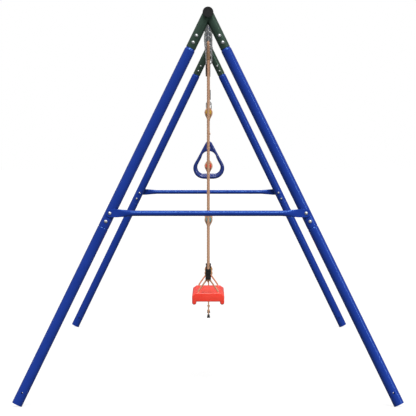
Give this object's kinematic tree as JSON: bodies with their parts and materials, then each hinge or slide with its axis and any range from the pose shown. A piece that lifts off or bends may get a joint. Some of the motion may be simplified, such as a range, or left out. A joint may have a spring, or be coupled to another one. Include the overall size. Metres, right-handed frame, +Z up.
{
  "type": "swing set",
  "caption": "A-frame garden swing set with a board swing, a rope ladder and a pair of triangular gym rings hung from one beam on snap hooks.",
  "frame": {"origin": "on the ground, midway between the two A-frames and between the legs of each", "axes": "+X across the A-frames, +Y along the beam towards the rings' end, +Z up"},
  "size_m": [1.7608, 3.2946, 1.808],
  "materials": {
    "powder_coat_blue": "satin powder coat",
    "powder_coat_green": "satin powder coat",
    "zinc_steel": "bright zinc plate",
    "black_plastic": "moulded matt",
    "rope": "laid polyester rope",
    "seat_red": "moulded satin gloss",
    "rung_yellow": "moulded satin gloss",
    "rung_red": "moulded satin gloss",
    "rung_teal": "moulded satin gloss",
    "ring_blue": "moulded satin gloss"
  },
  "bodies": {
    "root": {"near_bracket": "powder_coat_green", "far_bracket": "powder_coat_green", "beam_near_half": "powder_coat_green", "beam_far_half": "powder_coat_green", "beam_sleeve": "zinc_steel", "beam_end_caps": "black_plastic", "beam_bolts": "zinc_steel", "near_left_leg_upper": "powder_coat_blue", "near_right_leg_upper": "powder_coat_blue", "far_left_leg_upper": "powder_coat_blue", "far_right_leg_upper": "powder_coat_blue", "near_left_leg_lower": "powder_coat_blue", "near_right_leg_lower": "powder_coat_blue", "far_left_leg_lower": "powder_coat_blue", "far_right_leg_lower": "powder_coat_blue", "near_brace": "powder_coat_blue", "far_brace": "powder_coat_blue", "bracket_bolts": "zinc_steel", "leg_bolts": "zinc_steel", "swing_eye_bolts": "zinc_steel", "ladder_eye_bolts": "zinc_steel", "ring_eye_bolts": "zinc_steel"},
    "swing": {"swing_hooks": "zinc_steel", "swing_near_rope": "rope", "swing_far_rope": "rope"},
    "swing_seat": {"rope_adjusters": "black_plastic", "seat_cords": "rope", "seat": "seat_red"},
    "swing_near_gate": {"swing_near_hook_gate": "zinc_steel"},
    "swing_far_gate": {"swing_far_hook_gate": "zinc_steel"},
    "ladder": {"ladder_hooks": "zinc_steel", "ladder_near_rope": "rope", "ladder_far_rope": "rope", "ladder_rope_adjusters": "black_plastic", "rung_1": "rung_yellow", "rung_2": "rung_red", "rung_3": "rung_teal", "rung_4": "rung_yellow", "ladder_bell_caps": "black_plastic"},
    "ladder_near_gate": {"ladder_near_hook_gate": "zinc_steel"},
    "ladder_far_gate": {"ladder_far_hook_gate": "zinc_steel"},
    "near_ring_top": {"near_ring_hook": "zinc_steel"},
    "near_ring_top_gate": {"near_ring_hook_gate": "zinc_steel"},
    "near_ring_line": {"near_ring_rope": "rope", "near_ring_sleeve": "black_plastic"},
    "near_ring_handle": {"near_ring_link": "zinc_steel", "near_ring_loop": "rope", "near_ring": "ring_blue"},
    "near_ring_handle_gate": {"near_ring_link_gate": "zinc_steel"},
    "far_ring_top": {"far_ring_hook": "zinc_steel"},
    "far_ring_top_gate": {"far_ring_hook_gate": "zinc_steel"},
    "far_ring_line": {"far_ring_rope": "rope", "far_ring_sleeve": "black_plastic"},
    "far_ring_handle": {"far_ring_link": "zinc_steel", "far_ring_loop": "rope", "far_ring": "ring_blue"},
    "far_ring_handle_gate": {"far_ring_link_gate": "zinc_steel"}
  },
  "joints": [
    {"name": "board_swing", "type": "hinge", "parent": "root", "child": "swing", "pos_m": [0, -0.85, 1.71175], "axis": [0, 1, 0], "range_deg": [-50, 50]},
    {"name": "seat_tilt", "type": "hinge", "parent": "swing", "child": "swing_seat", "pos_m": [0, -0.85, 0.583], "axis": [0, 1, 0], "range_deg": [-18, 18]},
    {"name": "swing_near_hook_gate_open", "type": "hinge", "parent": "swing", "child": "swing_near_gate", "pos_m": [0.017, -1.04, 1.6819], "axis": [0, -1, 0], "range_deg": [0, 25], "stiffness_Nm_per_rad": 0.05, "springref_deg": -11.46},
    {"name": "swing_far_hook_gate_open", "type": "hinge", "parent": "swing", "child": "swing_far_gate", "pos_m": [0.017, -0.66, 1.6819], "axis": [0, -1, 0], "range_deg": [0, 25], "stiffness_Nm_per_rad": 0.05, "springref_deg": -11.46},
    {"name": "ladder_swing", "type": "hinge", "parent": "root", "child": "ladder", "pos_m": [0, 0, 1.71175], "axis": [0, 1, 0], "range_deg": [-35, 35]},
    {"name": "ladder_near_hook_gate_open", "type": "hinge", "parent": "ladder", "child": "ladder_near_gate", "pos_m": [0.017, -0.13, 1.6819], "axis": [0, -1, 0], "range_deg": [0, 25], "stiffness_Nm_per_rad": 0.05, "springref_deg": -11.46},
    {"name": "ladder_far_hook_gate_open", "type": "hinge", "parent": "ladder", "child": "ladder_far_gate", "pos_m": [0.017, 0.13, 1.6819], "axis": [0, -1, 0], "range_deg": [0, 25], "stiffness_Nm_per_rad": 0.05, "springref_deg": -11.46},
    {"name": "near_ring_swing", "type": "hinge", "parent": "root", "child": "near_ring_top", "pos_m": [0, 0.6, 1.71175], "axis": [0, 1, 0], "range_deg": [-45, 45]},
    {"name": "near_ring_hook_gate_open", "type": "hinge", "parent": "near_ring_top", "child": "near_ring_top_gate", "pos_m": [0.017, 0.6, 1.6819], "axis": [0, -1, 0], "range_deg": [0, 25], "stiffness_Nm_per_rad": 0.05, "springref_deg": -11.46},
    {"name": "near_ring_sway", "type": "hinge", "parent": "near_ring_top", "child": "near_ring_line", "pos_m": [0, 0.6, 1.6588], "axis": [1, 0, 0], "range_deg": [-25, 25]},
    {"name": "near_ring_link_swing", "type": "hinge", "parent": "near_ring_line", "child": "near_ring_handle", "pos_m": [0, 0.6, 1.4122], "axis": [0, 1, 0], "range_deg": [-30, 30]},
    {"name": "near_ring_link_gate_open", "type": "hinge", "parent": "near_ring_handle", "child": "near_ring_handle_gate", "pos_m": [0.014, 0.6, 1.3956], "axis": [0, -1, 0], "range_deg": [0, 25], "stiffness_Nm_per_rad": 0.05, "springref_deg": -11.46},
    {"name": "far_ring_swing", "type": "hinge", "parent": "root", "child": "far_ring_top", "pos_m": [0, 1.08, 1.71175], "axis": [0, 1, 0], "range_deg": [-45, 45]},
    {"name": "far_ring_hook_gate_open", "type": "hinge", "parent": "far_ring_top", "child": "far_ring_top_gate", "pos_m": [0.017, 1.08, 1.6819], "axis": [0, -1, 0], "range_deg": [0, 25], "stiffness_Nm_per_rad": 0.05, "springref_deg": -11.46},
    {"name": "far_ring_sway", "type": "hinge", "parent": "far_ring_top", "child": "far_ring_line", "pos_m": [0, 1.08, 1.6588], "axis": [1, 0, 0], "range_deg": [-25, 25]},
    {"name": "far_ring_link_swing", "type": "hinge", "parent": "far_ring_line", "child": "far_ring_handle", "pos_m": [0, 1.08, 1.4122], "axis": [0, 1, 0], "range_deg": [-30, 30]},
    {"name": "far_ring_link_gate_open", "type": "hinge", "parent": "far_ring_handle", "child": "far_ring_handle_gate", "pos_m": [0.014, 1.08, 1.3956], "axis": [0, -1, 0], "range_deg": [0, 25], "stiffness_Nm_per_rad": 0.05, "springref_deg": -11.46}
  ]
}
